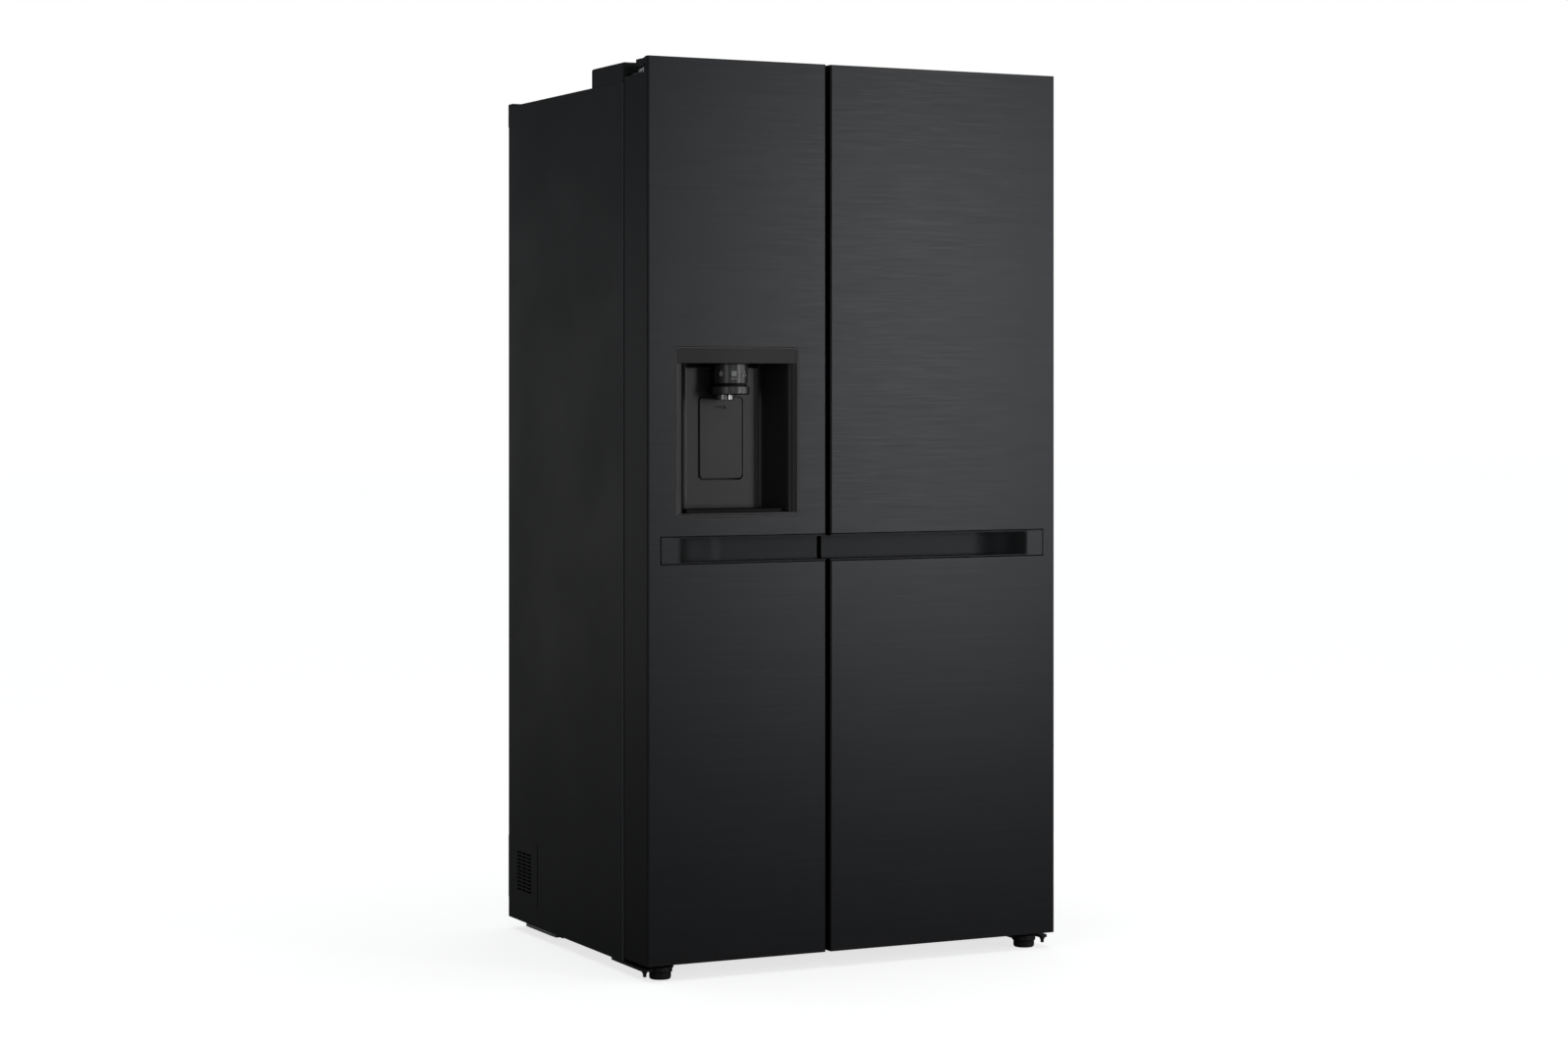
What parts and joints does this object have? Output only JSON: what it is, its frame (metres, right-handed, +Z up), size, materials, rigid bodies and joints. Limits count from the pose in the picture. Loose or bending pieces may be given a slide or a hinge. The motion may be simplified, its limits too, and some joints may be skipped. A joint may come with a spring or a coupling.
{
  "type": "side by side refrigerator",
  "caption": "Tall black steel refrigerator with a narrow freezer door and a wide fridge door side by side, recessed grips and an ice and water dispenser.",
  "frame": {"origin": "on the floor under the middle of the bounding box", "axes": "+Z up, the doors face -Y, +X to the right as seen from the front"},
  "size_m": [0.913, 0.735, 1.79],
  "materials": {
    "case_paint": "satin",
    "black_steel": "satin",
    "cap_plastic": "satin",
    "foam_core": "matte",
    "insulating_foam": "matte",
    "handle_plastic": "satin",
    "dispenser_plastic": "satin",
    "dial_metal": "satin",
    "liner_plastic": "satin",
    "clear_plastic": "gloss",
    "shelf_glass": "gloss",
    "gasket_rubber": "matte",
    "galvanised_steel": "satin",
    "bare_steel": "satin",
    "compressor_paint": "gloss",
    "copper_tube": "satin",
    "aluminium_fins": "satin",
    "roller_plastic": "matte"
  },
  "bodies": {
    "cabinet": {"outer_case": "case_paint", "rear_top_cap": "cap_plastic", "hinge_cover_left": "cap_plastic", "hinge_cover_right": "cap_plastic", "condenser_fan_frame": "cap_plastic", "cabinet_foam": "insulating_foam", "freezer_liner": "liner_plastic", "fridge_liner": "liner_plastic", "freezer_back_duct": "liner_plastic", "fridge_back_duct": "liner_plastic", "ice_maker": "liner_plastic", "freezer_drawer_1": "clear_plastic", "freezer_drawer_2": "clear_plastic", "crisper_1": "clear_plastic", "crisper_2": "clear_plastic", "ice_bin": "clear_plastic", "freezer_shelf_1": "shelf_glass", "freezer_shelf_2": "shelf_glass", "fridge_shelf_1": "shelf_glass", "fridge_shelf_2": "shelf_glass", "fridge_shelf_3": "shelf_glass", "back_panel": "galvanised_steel", "machine_cover": "galvanised_steel", "base_plate": "galvanised_steel", "hinge_bracket_bottom_left": "galvanised_steel", "hinge_bracket_bottom_right": "galvanised_steel", "hinge_bracket_top_left": "bare_steel", "hinge_bracket_top_right": "bare_steel", "compressor": "compressor_paint", "condenser_coil": "copper_tube", "evaporator_coil": "aluminium_fins"},
    "freezer_door": {"freezer_door_panel": "black_steel", "freezer_door_core": "foam_core", "freezer_door_liner": "liner_plastic", "freezer_gasket": "gasket_rubber", "freezer_handle": "handle_plastic", "freezer_basket_1": "clear_plastic", "freezer_basket_2": "clear_plastic", "dispenser_frame": "dispenser_plastic", "dispenser_housing": "dispenser_plastic", "dispenser_head": "dispenser_plastic", "ice_chute": "cap_plastic", "drip_tray": "dispenser_plastic"},
    "fridge_door": {"fridge_door_panel": "black_steel", "fridge_door_core": "foam_core", "fridge_door_liner": "liner_plastic", "fridge_gasket": "gasket_rubber", "fridge_handle": "handle_plastic", "fridge_basket_1": "clear_plastic", "fridge_basket_2": "clear_plastic"},
    "dial": {"dispenser_dial": "dial_metal"},
    "paddle": {"dispenser_paddle": "dispenser_plastic"},
    "evaporator_fan": {"evaporator_fan_blade": "cap_plastic"},
    "condenser_fan": {"condenser_fan_blade": "cap_plastic"},
    "auger": {"ice_auger": "bare_steel"},
    "ice_tray_body": {"ice_tray": "clear_plastic"},
    "foot_left_body": {"foot_left": "roller_plastic"},
    "foot_right_body": {"foot_right": "roller_plastic"},
    "roller_left_body": {"roller_left": "roller_plastic"},
    "roller_right_body": {"roller_right": "roller_plastic"}
  },
  "joints": [
    {"name": "freezer_door_hinge", "type": "hinge", "parent": "cabinet", "child": "freezer_door", "pos_m": [-0.4365, -0.2935, 0.9], "axis": [0, 0, -1], "range_deg": [0, 115]},
    {"name": "fridge_door_hinge", "type": "hinge", "parent": "cabinet", "child": "fridge_door", "pos_m": [0.4365, -0.2935, 0.9], "axis": [0, 0, 1], "range_deg": [0, 115]},
    {"name": "dial_turn", "type": "hinge", "parent": "freezer_door", "child": "dial", "pos_m": [-0.258, -0.3245, 1.176], "axis": [0, 0, 1], "range_deg": [-35, 35]},
    {"name": "paddle_push", "type": "hinge", "parent": "freezer_door", "child": "paddle", "pos_m": [-0.2645, -0.2855, 1.124], "axis": [1, 0, 0], "range_deg": [0, 6], "stiffness_Nm_per_rad": 0.8, "springref_deg": -2.86},
    {"name": "evaporator_fan_spin", "type": "hinge", "parent": "cabinet", "child": "evaporator_fan", "pos_m": [-0.249, 0.2475, 0.93], "axis": [0, 1, 0], "continuous": true},
    {"name": "condenser_fan_spin", "type": "hinge", "parent": "cabinet", "child": "condenser_fan", "pos_m": [0.0027, 0.255, 0.135], "axis": [1, 0, 0], "continuous": true},
    {"name": "auger_turn", "type": "hinge", "parent": "cabinet", "child": "auger", "pos_m": [-0.249, 0.06, 1.318], "axis": [0, 1, 0], "continuous": true},
    {"name": "ice_tray_twist", "type": "hinge", "parent": "cabinet", "child": "ice_tray_body", "pos_m": [-0.249, 0.0775, 1.59], "axis": [0, 1, 0], "range_deg": [0, 160]},
    {"name": "foot_left_turn", "type": "hinge", "parent": "cabinet", "child": "foot_left_body", "pos_m": [-0.41, -0.3225, 0.009], "axis": [0, 0, 1], "continuous": true},
    {"name": "foot_right_turn", "type": "hinge", "parent": "cabinet", "child": "foot_right_body", "pos_m": [0.41, -0.3225, 0.009], "axis": [0, 0, 1], "continuous": true},
    {"name": "roller_left_spin", "type": "hinge", "parent": "cabinet", "child": "roller_left_body", "pos_m": [-0.398, 0.1845, 0.0112], "axis": [1, 0, 0], "continuous": true},
    {"name": "roller_right_spin", "type": "hinge", "parent": "cabinet", "child": "roller_right_body", "pos_m": [0.398, 0.1845, 0.0112], "axis": [1, 0, 0], "continuous": true}
  ]
}
